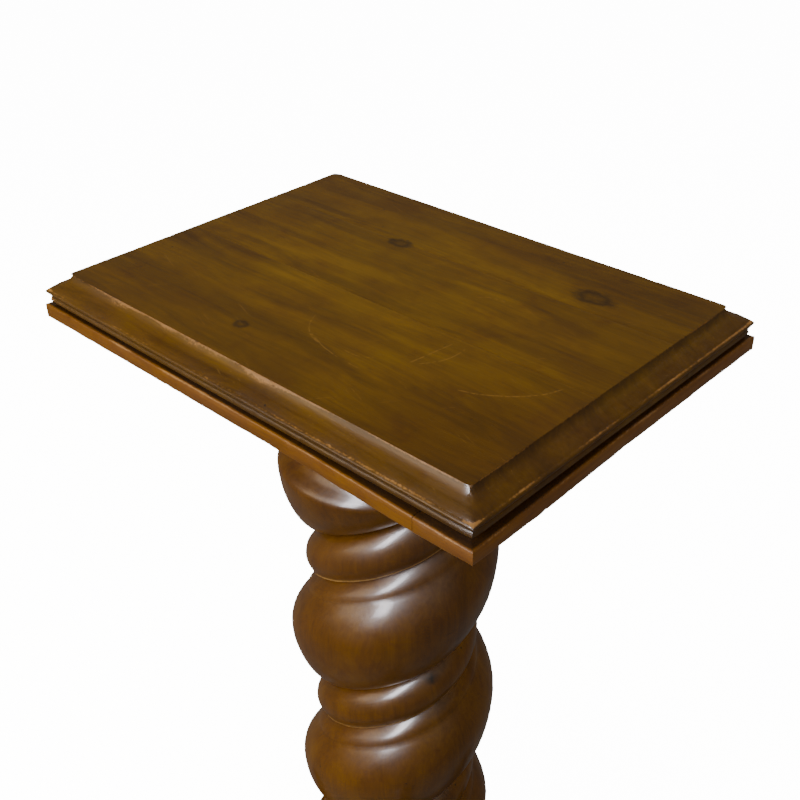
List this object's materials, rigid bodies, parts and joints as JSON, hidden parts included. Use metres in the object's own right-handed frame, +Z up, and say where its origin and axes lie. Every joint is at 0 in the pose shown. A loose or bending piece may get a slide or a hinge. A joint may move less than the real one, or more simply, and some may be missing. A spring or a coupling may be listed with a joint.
{
  "type": "tilt top table",
  "caption": "Small walnut pedestal table with a moulded rectangular tilting top on a thick barley-twist column, a hollow-sided platform and bun feet.",
  "frame": {"origin": "on the floor under the column's axis, which is the middle of the overall box", "axes": "+Z up; X along the top's long side; -Y is the front, where the top hangs once it is tilted"},
  "size_m": [0.435, 0.317, 0.76],
  "materials": {
    "walnut_top": "old shellac polish with a green-gold cast, semi-gloss, worn on its edges",
    "walnut_banding": "old shellac polish, semi-gloss, worn",
    "walnut_column": "old shellac polish, glossier than the top",
    "walnut_base": "old shellac polish, semi-gloss",
    "plain_beech": "unpolished, darkened with age",
    "wedge_oak": "unpolished end grain",
    "old_brass": "tarnished, rubbed bright on the edges",
    "dark_steel": "old iron screws and pins, darkened"
  },
  "bodies": {
    "pedestal": {"foot_front_left": "walnut_base", "foot_front_right": "walnut_base", "foot_rear_left": "walnut_base", "foot_rear_right": "walnut_base", "platform_lower": "walnut_base", "platform_upper": "walnut_base", "platform_screws": "dark_steel", "base_collar": "walnut_base", "column": "walnut_column", "foot_wedges": "wedge_oak", "head_wedges": "wedge_oak", "tilt_block": "plain_beech", "strike_plate": "old_brass", "strike_screws": "old_brass"},
    "top": {"pivot_pin_left": "dark_steel", "pivot_pin_right": "dark_steel", "bearer_left": "plain_beech", "bearer_right": "plain_beech", "bearer_screws": "dark_steel", "top_board_front": "walnut_top", "top_board_middle": "walnut_top", "top_board_rear": "walnut_top", "banding_front": "walnut_banding", "banding_patch": "walnut_banding", "banding_right": "walnut_banding", "banding_rear": "walnut_banding", "banding_left": "walnut_banding", "catch_plate": "old_brass", "catch_guides": "old_brass", "catch_screws": "old_brass"},
    "bolt": {"catch_bolt": "old_brass", "catch_knob": "old_brass"}
  },
  "joints": [
    {"name": "top_tilt", "type": "hinge", "parent": "pedestal", "child": "top", "pos_m": [0, -0.08, 0.715], "axis": [1, 0, 0], "range_deg": [0, 90]},
    {"name": "bolt_slide", "type": "slide", "parent": "top", "child": "bolt", "axis": [0, -1, 0], "range_m": [0, 0.008]}
  ]
}
